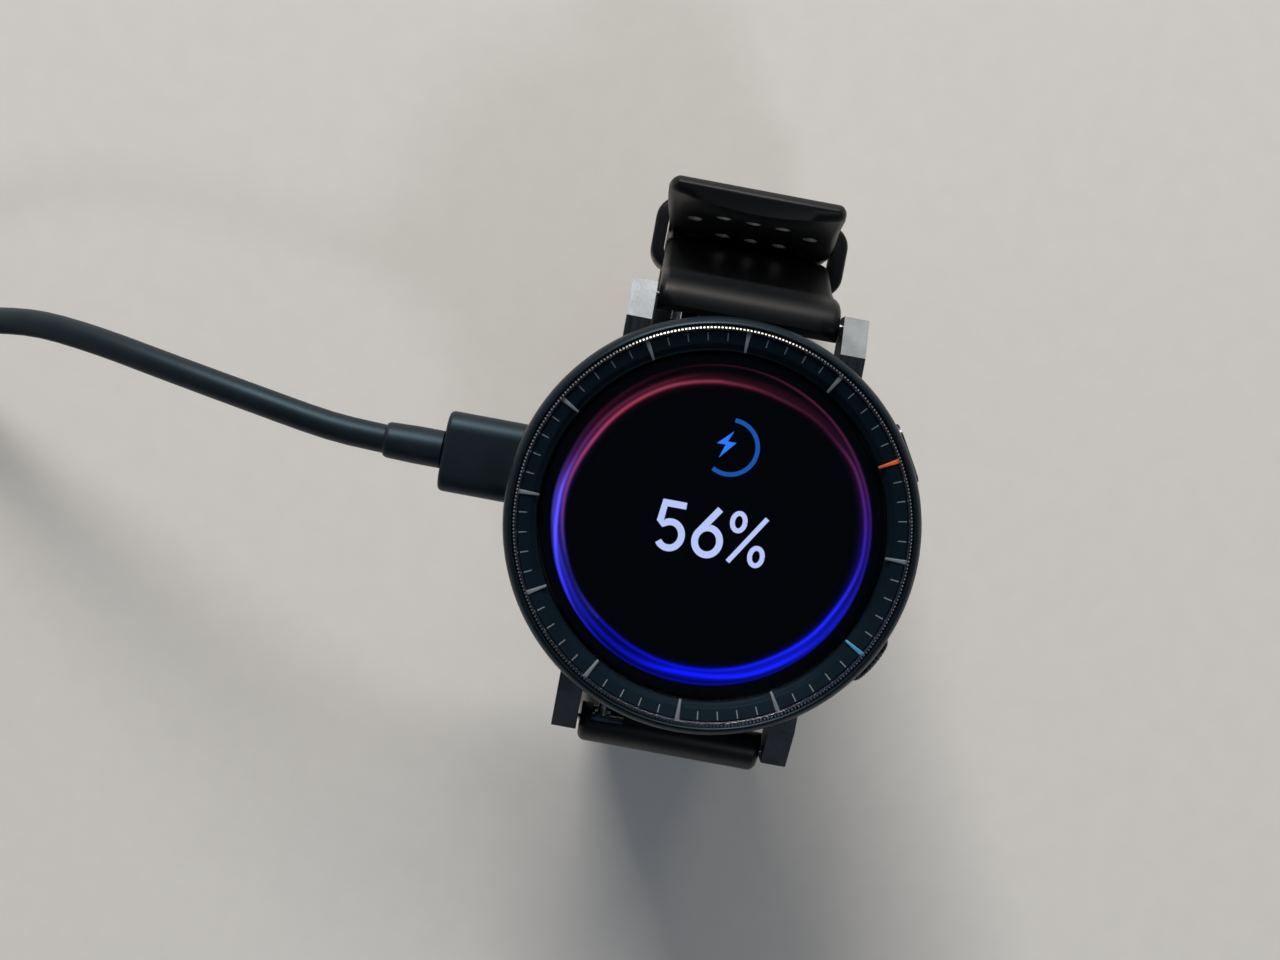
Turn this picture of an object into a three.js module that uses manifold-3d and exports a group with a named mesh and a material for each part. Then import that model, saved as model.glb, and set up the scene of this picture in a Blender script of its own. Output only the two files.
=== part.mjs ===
// A round GPS running watch that stands on its buckled strap, with its charging puck and lead.
// Millimetres, +Z up. X runs from 9 to 3 o'clock, Y from 6 to 12 o'clock, and Z is the dial's normal.
// The head is drawn in its own group, whose zero is the middle of the bezel's top.

import * as THREE from 'three';
import { mergeVertices } from 'three/addons/utils/BufferGeometryUtils.js';
import Module from 'manifold-3d';

const wasm = await Module();
wasm.setup();

// Driving dimensions
const BEZEL_R = 23.7;             // outside radius of the bezel
const CASE_R = 23.2;              // outside radius of the case
const BORE_R = 20.8;              // inside radius of the case
const DIAL_HEIGHT = 56;           // top of the bezel above the table
const CASE_TOP = -4.4;
const CASE_BOTTOM = -11;
const LUG_GAP = 22;               // strap width that the lugs take
const LUG_W = 2.9;
const LUG_TIP_Y = 26.45;
const BAR_Y = 25.2;               // spring bar, out from the dial's axis
const BAR_Z = -9.3;
const BAR_R = 0.75;
const LEVER_X = -8.2;             // quick-release lever, along the bar
const LEVER_TRAVEL = 1.3;
const LEVER_RISE = { 12: -5, 6: 25 };   // degrees that each lever's knob points up
const GAP = 0.3;                  // air between pieces that rest on each other

const STRAP_W = 21.4;
const STRAP_T = 2.8;
const PITCH = STRAP_T + GAP;      // from one strap layer to the next
const BAND_T = 1.5;               // wall of a keeper
const TAIL_Z = BAND_T + GAP + STRAP_T / 2;
const SHORT_Z = TAIL_Z + PITCH;
const FRONT_Y = -28.5;            // long half where it is upright
const BACK_Y = 33.4;              // short half where it is upright
const SHORT_BEND = 7;
const LONG_BEND = SHORT_BEND + PITCH;
const UPRIGHT_TOP = 24.5;         // the strap is upright below this height
const TAIL_TIP_Y = 38.9;
const TAIL_TIP_Z = 47;
const EYE_R = 1.8;                // strap end that holds a spring bar
const BUCKLE_Y = 2;
const BUCKLE_EYE_R = 2.1;
const BUCKLE_Z = SHORT_Z - STRAP_T / 2 + BUCKLE_EYE_R;
const BUCKLE_PIN_R = 0.75;
const KEEPER_W = 7;
const KEEPER_X = 12.6;
const KEEPER_Y = 18.5;            // fixed keeper's far side

const CROWN_AT = -30;             // degrees round from 3 o'clock
const BUTTON_AT = 30;
const CONTROL_Z = -7.6;
const CROWN_R = 3.1;
const CROWN_FROM = 23.7;          // the crown's two faces, out from the dial's axis
const CROWN_TO = 24.94;
const BUTTON_TO = 24.45;

const PUCK_R = 15.5;
const PUCK_Y = 2.4;
const PLUG_Z = -16.9;
const MOULD_W = 9.8;
const MOULD_T = 6.2;
const MOULD_L = 15.9;
const SHELL_W = 8.3;
const SHELL_T = 2.5;
const SHELL_L = 6.6;
const RELIEF_R = 2.3;
const RELIEF_L = 7.3;
const MOULD_END = -32.1;          // where the lead's near plug ends, along X

const CORD_R = 1.75;
const COIL_X = -125.5;
const COIL_Y = -22;
const COIL_R = 20.75;             // middle of the turns
const COIL_COLUMNS = 3;
const COIL_LAYERS = 2;
const END_BEND = 14;              // the lead's last bend, over the coil

// Materials
const finish = (color, roughness, metalness) =>
  new THREE.MeshStandardMaterial({ color, roughness, metalness });
const gunmetal = finish(0x2a2e36, 0.35, 0.9);
const bezelCoat = finish(0x14171d, 0.4, 0.6);
const darkSteel = finish(0x3a3d42, 0.3, 1);
const steel = finish(0xb9bcc0, 0.25, 1);
const brass = finish(0xc9a34a, 0.3, 1);
const blackPlastic = finish(0x101113, 0.6, 0);
const cordPlastic = finish(0x15161a, 0.55, 0);
const silicone = finish(0x0c0d10, 0.5, 0);
const crystal = finish(0x10141c, 0.05, 0);
const screen = finish(0x02030a, 0.2, 0);
const board = finish(0x1d5a34, 0.5, 0);
const foil = finish(0x9aa0a6, 0.45, 0.4);
const sealRubber = finish(0x2b2b2b, 0.8, 0);
const magnetic = finish(0x8c8f94, 0.3, 1);

// A closed mesh with its faces pointing out, whichever way its outline was drawn
function outward(geometry) {
  const plain = geometry.clone();
  plain.deleteAttribute('normal');
  plain.deleteAttribute('uv');
  const merged = mergeVertices(plain, 1e-4);
  const { position } = merged.attributes;
  const index = merged.index.array;
  const corners = [0, 1, 2].map(() => new THREE.Vector3());
  let volume = 0;
  for (let i = 0; i < index.length; i += 3) {
    corners.forEach((corner, k) => corner.fromBufferAttribute(position, index[i + k]));
    volume += corners[0].dot(corners[1].clone().cross(corners[2]));
  }
  if (volume < 0) index.reverse();
  return merged;
}

// Solids and booleans
function solid(geometry) {
  const merged = outward(geometry);
  return new wasm.Manifold(new wasm.Mesh({
    numProp: 3,
    vertProperties: new Float32Array(merged.attributes.position.array),
    triVerts: new Uint32Array(merged.index.array),
  }));
}

function asGeometry(manifold) {
  const mesh = manifold.getMesh();
  const geometry = new THREE.BufferGeometry();
  const places = new Float32Array(mesh.vertProperties);
  geometry.setAttribute('position', new THREE.BufferAttribute(places, 3));
  geometry.setIndex(new THREE.BufferAttribute(new Uint32Array(mesh.triVerts), 1));
  geometry.computeVertexNormals();
  return geometry;
}

const cut = (base, ...tools) =>
  asGeometry(tools.reduce((left, tool) => left.subtract(solid(tool)), solid(base)));
const join = (base, ...others) =>
  asGeometry(others.reduce((sum, other) => sum.add(solid(other)), solid(base)));

// Simple shapes, each already in its place
function lathe(profile, segments = 64) {
  const points = profile.map(([r, z]) => new THREE.Vector2(r, z));
  if (profile[0][0] > 0 || profile.at(-1)[0] > 0) points.push(points[0].clone());
  return new THREE.LatheGeometry(points, segments).rotateX(Math.PI / 2);
}

const box = (x0, x1, y0, y1, z0, z1) =>
  new THREE.BoxGeometry(x1 - x0, y1 - y0, z1 - z0).translate((x0 + x1) / 2, (y0 + y1) / 2, (z0 + z1) / 2);

const upright = (r, z0, z1, segments = 24) =>
  new THREE.CylinderGeometry(r, r, z1 - z0, segments).rotateX(Math.PI / 2).translate(0, 0, (z0 + z1) / 2);

const alongX = (r, x0, x1, segments = 24) =>
  new THREE.CylinderGeometry(r, r, x1 - x0, segments).rotateZ(-Math.PI / 2).translate((x0 + x1) / 2, 0, 0);

// A profile turned about the X axis: pairs of distance along X and radius.
function turnedOnX(profile, segments = 20) {
  const points = profile.map(([x, r]) => new THREE.Vector2(r, x));
  return new THREE.LatheGeometry(points, segments).rotateZ(-Math.PI / 2);
}

// A shape in the Y-Z plane, made thick along X about the middle.
function slabOnX(shape, width, middle = 0) {
  const solidShape = { depth: width, bevelEnabled: false, curveSegments: 10 };
  const geometry = new THREE.ExtrudeGeometry(shape, solidShape);
  return geometry.rotateX(Math.PI / 2).rotateZ(Math.PI / 2).translate(middle - width / 2, 0, 0);
}

const polygon = (points) => new THREE.Shape(points.map(([a, b]) => new THREE.Vector2(a, b)));

function roundedRectangle(width, height, radius) {
  const shape = new THREE.Shape();
  const [x, y] = [width / 2, height / 2];
  shape.moveTo(-x + radius, -y);
  shape.lineTo(x - radius, -y);
  shape.absarc(x - radius, -y + radius, radius, -Math.PI / 2, 0, false);
  shape.lineTo(x, y - radius);
  shape.absarc(x - radius, y - radius, radius, 0, Math.PI / 2, false);
  shape.lineTo(-x + radius, y);
  shape.absarc(-x + radius, y - radius, radius, Math.PI / 2, Math.PI, false);
  shape.lineTo(-x, -y + radius);
  shape.absarc(-x + radius, -y + radius, radius, Math.PI, Math.PI * 1.5, false);
  return shape;
}

// A rounded bar that runs along X, centred on Y and Z.
function barOnX(width, height, radius, x0, x1) {
  const shape = roundedRectangle(width, height, radius);
  const solidShape = { depth: x1 - x0, bevelEnabled: false, curveSegments: 4 };
  const geometry = new THREE.ExtrudeGeometry(shape, solidShape);
  return geometry.rotateX(Math.PI / 2).rotateZ(Math.PI / 2).translate(x0, 0, 0);
}

const torusRing = (middle, section, z) => {
  const profile = [];
  const sides = 6;
  for (let i = 0; i < sides; i += 1) {
    const angle = (i / sides) * Math.PI * 2;
    profile.push([middle + section * Math.cos(angle), z + section * Math.sin(angle)]);
  }
  return lathe(profile, 36);
};

function place(parent, name, geometry, material, x = 0, y = 0, z = 0) {
  const closed = outward(geometry);
  closed.computeVertexNormals();
  const mesh = new THREE.Mesh(closed, material);
  mesh.name = name;
  mesh.position.set(x, y, z);
  parent.add(mesh);
  return mesh;
}

function group(parent, x = 0, y = 0, z = 0, turn = 0) {
  const inner = new THREE.Group();
  inner.position.set(x, y, z);
  inner.rotation.z = turn;
  parent.add(inner);
  return inner;
}

// Case, bezel and glass
function lug(side, end) {
  const shape = new THREE.Shape();
  shape.moveTo(16.5, -4.6);
  shape.lineTo(21.9, -4.6);
  shape.lineTo(LUG_TIP_Y, -7.3);
  shape.lineTo(LUG_TIP_Y, -10.6);
  shape.quadraticCurveTo(LUG_TIP_Y, -11.6, 25.2, -11.6);
  shape.lineTo(22.5, -11.4);
  shape.lineTo(16.5, -10.8);
  shape.closePath();
  const geometry = slabOnX(shape, LUG_W, side * (LUG_GAP / 2 + LUG_W / 2));
  return end > 0 ? geometry : geometry.rotateZ(Math.PI);
}

function radialTool(geometry, degrees) {
  return geometry.translate(0, 0, CONTROL_Z).rotateZ(THREE.MathUtils.degToRad(degrees));
}

function caseBody() {
  const ring = lathe([[BORE_R, CASE_TOP], [CASE_R, CASE_TOP], [CASE_R, -9.2], [22.4, CASE_BOTTOM],
    [BORE_R, CASE_BOTTOM]], 56);
  const lugs = [lug(1, 1), lug(-1, 1), lug(1, -1), lug(-1, -1)];
  const body = join(ring, ...lugs);
  const clearBore = upright(BORE_R, CASE_BOTTOM - 2, CASE_TOP + 2, 56);
  const barHoles = [-1, 1].map((end) =>
    alongX(0.6, -LUG_GAP / 2 - 1.8, LUG_GAP / 2 + 1.8, 12).translate(0, end * BAR_Y, BAR_Z));
  const crownHole = radialTool(alongX(1.4, 15, 30, 16), CROWN_AT);
  const buttonHole = radialTool(alongX(1.3, 15, 30, 16), BUTTON_AT);
  const buttonPocket = radialTool(barOnX(7.9, 3.9, 1.9, 22.0, 30), BUTTON_AT);
  return cut(body, clearBore, ...barHoles, crownHole, buttonHole, buttonPocket);
}

function buildShell(head) {
  place(head, 'case_with_lugs', caseBody(), gunmetal);
  place(head, 'bezel', lathe([[19.9, -3.9], [23.0, -4.1], [23.7, -3.1], [23.7, -1.4], [23.5, -0.6],
    [23.1, -0.1], [22.85, 0], [22.7, -0.3], [22.7, -1.3], [19.9, -1.9]], 64), bezelCoat);
  place(head, 'bezel_knurled_ring', lathe([[22.1, -1.05], [22.5, -1.1], [22.5, -0.5], [22.3, -0.35],
    [22.1, -0.5]], 48), darkSteel);
  place(head, 'minute_track_ring', lathe([[20.05, -1.65], [21.95, -1.2], [21.95, -0.55],
    [20.05, -1.3]], 48), bezelCoat);
  place(head, 'cover_glass', lathe([[0, -3.1], [19.5, -3.1], [19.5, -1.75], [19.3, -1.55],
    [0, -1.5]], 48), crystal);
  place(head, 'display_gasket', lathe([[18.75, -3.3], [19.55, -3.3], [19.55, -4.2],
    [18.75, -4.2]], 32), sealRubber);
  place(head, 'display_panel', lathe([[0, -4.2], [18.5, -4.2], [18.5, -3.4], [0, -3.4]], 40), screen);
}

// Inside the case
function mainBoard() {
  const shape = new THREE.Shape();
  const edge = 18.6;
  const low = 4;
  const start = Math.asin(low / edge);
  shape.absarc(0, 0, edge, start, Math.PI - start, false);
  shape.closePath();
  const plate = new THREE.ExtrudeGeometry(shape, { depth: 0.9, bevelEnabled: false, curveSegments: 16 });
  return cut(plate, box(12.2, 20, 0, 12, -1, 2));
}

function buildInside(head) {
  place(head, 'inner_frame', lathe([[0, -5.4], [20.4, -5.4], [20.4, -4.7], [0, -4.7]], 40), blackPlastic);
  place(head, 'antenna_ring', lathe([[18.9, -6.3], [20.3, -6.3], [20.3, -5.7], [18.9, -5.7]], 36), brass);
  place(head, 'battery', new THREE.ExtrudeGeometry(roundedRectangle(22, 17, 2),
    { depth: 3.6, bevelEnabled: false, curveSegments: 4 }), foil, 0, -5.5, -9.4);
  place(head, 'main_board', mainBoard(), board, 0, 0, -8.1);
  place(head, 'vibration_motor', upright(3.8, -10.1, -8.4, 24), steel, -8.2, 11);
  place(head, 'speaker', box(4.2, 12.4, 8.2, 13.8, -10.1, -8.4), blackPlastic);
  place(head, 'sensor_board', lathe([[0, -10.3], [8, -10.3], [8, -9.7], [0, -9.7]], 32), board);
}

// Back of the case
const SCREW_R = 17.2;
const CONTACT_Y = 13;
const CONTACT_X = 1.6;

const screwSpots = [45, 135, 225, 315].map((degrees) => {
  const angle = THREE.MathUtils.degToRad(degrees);
  return [SCREW_R * Math.cos(angle), SCREW_R * Math.sin(angle)];
});

function backCover() {
  const plate = lathe([[9.1, -10.7], [20.4, -10.7], [20.4, -11.3], [19.6, -11.9], [9.1, -11.9]], 48);
  const tools = screwSpots.map(([x, y]) => upright(1.3, -12.4, -10, 16).translate(x, y, 0));
  for (const side of [-1, 1]) {
    tools.push(upright(1.1, -12.4, -10, 16).translate(side * CONTACT_X, CONTACT_Y, 0));
  }
  return cut(plate, ...tools);
}

function buildBack(head) {
  place(head, 'back_cover', backCover(), blackPlastic);
  place(head, 'back_seal', torusRing(20.1, 0.28, -10.35), sealRubber);
  place(head, 'optical_sensor_window', lathe([[0, -12.4], [5, -12.25], [8.6, -11.8], [8.6, -10.6],
    [0, -10.6]], 32), crystal);
  screwSpots.forEach(([x, y], index) => {
    place(head, `back_screw_${index + 1}`, upright(1.0, -11.8, -10.4, 14), steel, x, y);
  });
  [-1, 1].forEach((side, index) => {
    const contact = upright(0.8, -11.95, -10.5, 14);
    place(head, `charge_contact_${index + 1}`, contact, brass, side * CONTACT_X, CONTACT_Y);
  });
}

// Crown at 4 o'clock and button at 2 o'clock, each along its own X axis
function crownKnob() {
  const teeth = 32;
  const shape = new THREE.Shape();
  for (let i = 0; i < teeth * 2; i += 1) {
    const radius = i % 2 ? CROWN_R : CROWN_R - 0.2;
    const angle = (i / (teeth * 2)) * Math.PI * 2;
    const point = [radius * Math.cos(angle), radius * Math.sin(angle)];
    if (i) shape.lineTo(...point);
    else shape.moveTo(...point);
  }
  shape.closePath();
  const edge = 0.22;
  const depth = CROWN_TO - CROWN_FROM - 2 * edge;
  const geometry = new THREE.ExtrudeGeometry(shape, { depth, bevelSize: edge, bevelOffset: -edge,
    bevelThickness: edge, bevelSegments: 1 });
  return geometry.rotateY(Math.PI / 2).translate(CROWN_FROM + edge, 0, 0);
}

function buildControls(head) {
  const crown = group(head, 0, 0, CONTROL_Z, THREE.MathUtils.degToRad(CROWN_AT));
  place(crown, 'crown', crownKnob(), darkSteel);
  const stemEnd = CROWN_FROM - 0.1;
  place(crown, 'crown_stem', turnedOnX([[17.6, 0], [17.6, 1.0], [stemEnd, 1.0], [stemEnd, 0]]), steel);
  place(crown, 'crown_seal', turnedOnX([[21.4, 1.05], [22.2, 1.05], [22.2, 1.33], [21.4, 1.33],
    [21.4, 1.05]]), sealRubber);
  place(crown, 'crown_encoder', box(15.6, 17.1, -2.2, 2.2, -1.1, 1.7), blackPlastic);

  const button = group(head, 0, 0, CONTROL_Z, THREE.MathUtils.degToRad(BUTTON_AT));
  place(button, 'button', barOnX(7.2, 3.2, 1.55, 22.9, BUTTON_TO), darkSteel);
  place(button, 'button_stem', turnedOnX([[17.9, 0], [17.9, 0.8], [22.8, 0.8], [22.8, 0]]), steel);
  place(button, 'button_seal', turnedOnX([[20.9, 0.87], [21.7, 0.87], [21.7, 1.24], [20.9, 1.24],
    [20.9, 0.87]]), sealRubber);
  place(button, 'button_switch', box(15.9, 17.3, -1.8, 1.8, -1.1, 1.7), blackPlastic);
}

// Spring bars with their quick-release levers on the 9 o'clock side, whose knobs point at the case
function buildSpringBar(head, label, end) {
  const bar = group(head, 0, end * BAR_Y, BAR_Z);
  place(bar, `spring_bar_${label}`, turnedOnX([[-7, 0], [-7, 0.5], [-10.3, 0.5], [-10.3, BAR_R], [10.7, BAR_R],
    [10.7, 0.4], [12.4, 0.4], [12.4, 0]]), steel);
  place(bar, `spring_bar_tip_${label}`, alongX(0.32, -12.3, -8.6, 14), steel);
  const sleeve = turnedOnX([[LEVER_X - 0.9, 0.85], [LEVER_X + 0.9, 0.85], [LEVER_X + 0.9, 1.2],
    [LEVER_X - 0.9, 1.2], [LEVER_X - 0.9, 0.85]]);
  const turn = end * THREE.MathUtils.degToRad(90 - LEVER_RISE[label]);
  const knob = upright(0.6, 1.0, 2.6, 14).rotateX(turn).translate(LEVER_X, 0, 0);
  place(bar, `release_lever_${label}`, join(sleeve, knob), steel);
}

// Strap: a closed outline drawn round the middle line of the rubber, in the Y-Z plane
function outlineAlong(points, thickness) {
  const left = [];
  const right = [];
  points.forEach((point, index) => {
    const before = points[Math.max(index - 1, 0)];
    const after = points[Math.min(index + 1, points.length - 1)];
    const along = after.clone().sub(before).normalize();
    const side = new THREE.Vector2(-along.y, along.x).multiplyScalar(thickness / 2);
    left.push(point.clone().add(side));
    right.push(point.clone().sub(side));
  });
  return new THREE.Shape([...left, ...right.reverse()]);
}

function arcPoints(y, z, radius, from, to, steps) {
  const points = [];
  for (let i = 0; i <= steps; i += 1) {
    const angle = THREE.MathUtils.degToRad(from + (to - from) * (i / steps));
    points.push(new THREE.Vector2(y + radius * Math.cos(angle), z + radius * Math.sin(angle)));
  }
  return points;
}

const point = (y, z) => new THREE.Vector2(y, z);
const EYE_Z = DIAL_HEIGHT + BAR_Z;

function roundEnd(y, z, radius) {
  return alongX(radius, -STRAP_W / 2, STRAP_W / 2, 20).translate(0, y, z);
}

// Room for a lever: a bore round its sleeve, and a slot towards the case for its knob
function leverRoom(end, top) {
  const low = LEVER_X - 1.2;
  const high = LEVER_X + 1.2 + LEVER_TRAVEL;
  const near = end * BAR_Y;
  const far = end * (BAR_Y - 5);
  const slot = box(low, high, Math.min(near, far), Math.max(near, far), EYE_Z - 1.2, EYE_Z + top);
  return [alongX(1.45, low, high, 20).translate(0, near, EYE_Z), slot];
}

const barBore = (end) => alongX(1.05, -STRAP_W, STRAP_W, 16).translate(0, end * BAR_Y, EYE_Z);

function shortHalf() {
  const middle = [
    point(BAR_Y, EYE_Z),
    point(BAR_Y + 1.2, EYE_Z - 4.5),
    point(BACK_Y - 0.9, UPRIGHT_TOP + 3),
    point(BACK_Y, UPRIGHT_TOP - 1),
    ...arcPoints(BACK_Y - SHORT_BEND, SHORT_Z + SHORT_BEND, SHORT_BEND, 0, -90, 6),
    point(BUCKLE_Y, SHORT_Z),
  ];
  const strip = slabOnX(outlineAlong(middle, STRAP_T), STRAP_W);
  const whole = join(strip, roundEnd(BAR_Y, EYE_Z, EYE_R), roundEnd(BUCKLE_Y, BUCKLE_Z, BUCKLE_EYE_R));
  const pinBore = alongX(BUCKLE_PIN_R + GAP, -STRAP_W, STRAP_W, 16).translate(0, BUCKLE_Y, BUCKLE_Z);
  const tangNotch = box(-1.5, 1.5, BUCKLE_Y - 4, BUCKLE_Y + 2.6, SHORT_Z - 3, BUCKLE_Z + 4);
  return cut(whole, barBore(1), ...leverRoom(1, 0.9), pinBore, tangNotch);
}

function longHalf() {
  const middle = [
    point(-BAR_Y, EYE_Z),
    point(-BAR_Y - 0.6, EYE_Z - 4.5),
    point(FRONT_Y + 0.6, UPRIGHT_TOP + 3),
    point(FRONT_Y, UPRIGHT_TOP - 1),
    ...arcPoints(FRONT_Y + LONG_BEND, TAIL_Z + LONG_BEND, LONG_BEND, 180, 270, 7),
    ...arcPoints(BACK_Y - SHORT_BEND, TAIL_Z + LONG_BEND, LONG_BEND, -90, 0, 7),
    point(BACK_Y + PITCH, UPRIGHT_TOP + 1),
    point(TAIL_TIP_Y, TAIL_TIP_Z - STRAP_T / 2),
  ];
  const strip = slabOnX(outlineAlong(middle, STRAP_T), STRAP_W);
  const tip = roundEnd(TAIL_TIP_Y, TAIL_TIP_Z - STRAP_T / 2, STRAP_T / 2);
  const whole = join(strip, roundEnd(-BAR_Y, EYE_Z, EYE_R), tip);
  const tangHole = box(-1.5, 1.5, BUCKLE_Y - 8.6, BUCKLE_Y - 3, TAIL_Z - 3, TAIL_Z + 3);
  return cut(whole, barBore(-1), ...leverRoom(-1, 2.2), tangHole);
}

function buckleFrame() {
  const arm = new THREE.Shape();
  arm.absarc(BUCKLE_Y, BUCKLE_Z, 1.9, Math.PI * 0.35, -Math.PI * 0.5, true);
  arm.lineTo(BUCKLE_Y - 6, 0.6);
  arm.lineTo(BUCKLE_Y - 8, 0);
  arm.lineTo(BUCKLE_Y - 12, 0);
  arm.lineTo(BUCKLE_Y - 12, 1.5);
  arm.lineTo(BUCKLE_Y - 8, 4.6);
  arm.closePath();
  const inner = STRAP_W / 2 + 0.4;
  const arms = [-1, 1].map((side) => slabOnX(arm, 1.5, side * (inner + 0.75)));
  const lip = box(-inner - 1, inner + 1, BUCKLE_Y - 12, BUCKLE_Y - 9.5, 0, 1.5);
  const pinHole = alongX(BUCKLE_PIN_R + GAP, -20, 20, 16).translate(0, BUCKLE_Y, BUCKLE_Z);
  const tangGroove = box(-1.3, 1.3, BUCKLE_Y - 13, BUCKLE_Y - 9, -1, 0.95);
  return cut(join(lip, ...arms), pinHole, tangGroove);
}

function buckleTang() {
  const blade = polygon([
    [BUCKLE_Y - 0.6, BUCKLE_Z + 1.3], [BUCKLE_Y - 3.2, BUCKLE_Z + 0.6], [BUCKLE_Y - 7.6, 1.5],
    [BUCKLE_Y - 9.4, 0.65], [BUCKLE_Y - 12.2, 0.6], [BUCKLE_Y - 12.2, 0.1], [BUCKLE_Y - 8.6, 0.1],
    [BUCKLE_Y - 6.2, 0.9], [BUCKLE_Y - 3.4, 5.4], [BUCKLE_Y - 0.9, BUCKLE_Z - 1.3],
  ]);
  const eye = alongX(1.45, -1.05, 1.05, 20).translate(0, BUCKLE_Y, BUCKLE_Z);
  const bore = alongX(BUCKLE_PIN_R + 0.2, -3, 3, 16).translate(0, BUCKLE_Y, BUCKLE_Z);
  return cut(join(slabOnX(blade, 2.1), eye), bore);
}

// A keeper is a flat loop round both strap layers; its shape is drawn across the strap.
function keeperLoop(inside) {
  const shape = roundedRectangle(KEEPER_X * 2, inside + BAND_T * 2, 2.2);
  shape.holes.push(new THREE.Path(roundedRectangle(STRAP_W + 0.5, inside, 0.8).getPoints(5)));
  return new THREE.ExtrudeGeometry(shape, { depth: KEEPER_W, bevelEnabled: false, curveSegments: 5 });
}

function buildStrap(watch) {
  place(watch, 'strap_short_half', shortHalf(), silicone);
  place(watch, 'strap_long_half', longHalf(), silicone);
  place(watch, 'buckle_frame', buckleFrame(), darkSteel);
  place(watch, 'buckle_tang', buckleTang(), steel);
  const pinEnd = STRAP_W / 2 + 1.7;
  place(watch, 'buckle_pin', alongX(BUCKLE_PIN_R, -pinEnd, pinEnd, 16), steel, 0, BUCKLE_Y, BUCKLE_Z);
  const inside = PITCH + STRAP_T + GAP * 2;
  const layers = (TAIL_Z + SHORT_Z) / 2;
  const fixed = place(watch, 'strap_keeper_fixed', keeperLoop(inside), silicone, 0, KEEPER_Y, layers);
  fixed.rotation.x = Math.PI / 2;
  const low = UPRIGHT_TOP - KEEPER_W - 0.5;
  place(watch, 'strap_keeper_sliding', keeperLoop(inside), silicone, 0, BACK_Y + PITCH / 2, low);
}

// Charging puck under the head
function usbSocket() {
  const outside = barOnX(9.4, 3.6, 1.75, -15.2, -7.6);
  const hollow = barOnX(8.8, 3.0, 1.45, -17, -8.2);
  const tongue = box(-13.6, -7.9, -3.1, 3.1, -0.35, 0.35);
  return join(cut(outside, hollow), tongue);
}

function buildPuck(head) {
  const puck = group(head, 0, PUCK_Y, PLUG_Z);
  const port = () => barOnX(10.2, 4.4, 2.1, -20, -11);
  const top = lathe([[0, 4.1], [14.7, 4.1], [PUCK_R, 3.3], [PUCK_R, 0.1], [14, 0.1], [14, 2.7],
    [0, 2.7]], 40);
  const pins = [-1, 1].map((side) => upright(0.9, 0, 6, 14).translate(side * CONTACT_X, CONTACT_Y - PUCK_Y, 0));
  place(puck, 'puck_top_shell', cut(top, port(), ...pins), blackPlastic);
  const bottom = lathe([[0, -3.9], [14.3, -3.9], [PUCK_R, -2.9], [PUCK_R, -0.1], [14, -0.1],
    [14, -2.6], [0, -2.6]], 40);
  place(puck, 'puck_bottom_shell', cut(bottom, port()), blackPlastic);
  place(puck, 'puck_usb_socket', usbSocket(), steel);
  place(puck, 'puck_board', box(-6.5, 8, -6, 6, -2.3, -1.5), board);
  place(puck, 'puck_magnet', upright(4.5, -0.9, 2.5, 28), magnetic, 4, -7.6);
  [-1, 1].forEach((side, index) => {
    const pin = upright(0.55, 1.0, 4.5, 12);
    place(puck, `puck_contact_pin_${index + 1}`, pin, brass, side * CONTACT_X, CONTACT_Y - PUCK_Y);
  });
}

// A plug whose metal shell points along +X and whose back is at zero
function buildPlug(parent, label) {
  place(parent, `${label}_overmould`, barOnX(MOULD_W, MOULD_T, 2.4, 0, MOULD_L), cordPlastic);
  const wall = 0.45;
  const hollow = barOnX(SHELL_W - 2 * wall, SHELL_T - 2 * wall, 1.2 - wall, 0.8, SHELL_L + 1);
  const shell = cut(barOnX(SHELL_W, SHELL_T, 1.2, 0, SHELL_L), hollow);
  place(parent, `${label}_shell`, shell, steel, MOULD_L + 0.1);
  const relief = turnedOnX([[-RELIEF_L, 0], [-RELIEF_L, RELIEF_R - 0.4], [-RELIEF_L + 0.4, RELIEF_R],
    [-0.2, RELIEF_R], [-0.2, 0]], 24);
  place(parent, `${label}_strain_relief`, relief, cordPlastic);
}

// The lead: points from the near plug down to the table, then a coil, then a bend to the far plug
const leadRoute = [
  [-39.7, 2.4, 39.1], [-43.1, 2.5, 39.1], [-46.9, 2.8, 39.0], [-51.6, 3.5, 38.7], [-57.3, 4.4, 38.0],
  [-63.0, 5.3, 36.8], [-68.1, 6.1, 35.4], [-72.6, 6.8, 33.8], [-78.1, 7.6, 31.6], [-82.7, 8.1, 29.4],
  [-86.8, 8.3, 27.0], [-90.7, 8.2, 24.5], [-94.1, 7.8, 22.0], [-98.0, 7.2, 18.6], [-102.0, 6.5, 14.8],
  [-106.0, 5.8, 10.9], [-110.0, 5.1, 7.2], [-114.0, 4.4, 4.2], [-115.8, 4.1, 3.4],
];

function tube(points, steps) {
  const curve = new THREE.CatmullRomCurve3(points.map(([x, y, z]) => new THREE.Vector3(x, y, z)));
  const section = new THREE.Shape();
  section.absarc(0, 0, CORD_R, 0, Math.PI * 2, false);
  return new THREE.ExtrudeGeometry(section, { steps, extrudePath: curve, curveSegments: 4, bevelEnabled: false });
}

function endBend() {
  const leave = THREE.MathUtils.degToRad(330);
  const outer = COIL_R + CORD_R * (COIL_COLUMNS - 1);
  const x = COIL_X + (outer - END_BEND) * Math.cos(leave);
  const y = COIL_Y + (outer - END_BEND) * Math.sin(leave);
  const z = CORD_R * 2 * COIL_LAYERS + GAP + MOULD_T / 2;
  const points = [];
  for (let degrees = -30; degrees <= 90; degrees += 15) {
    const angle = THREE.MathUtils.degToRad(degrees);
    points.push([x + END_BEND * Math.cos(angle), y + END_BEND * Math.sin(angle), z]);
  }
  return points;
}

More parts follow.
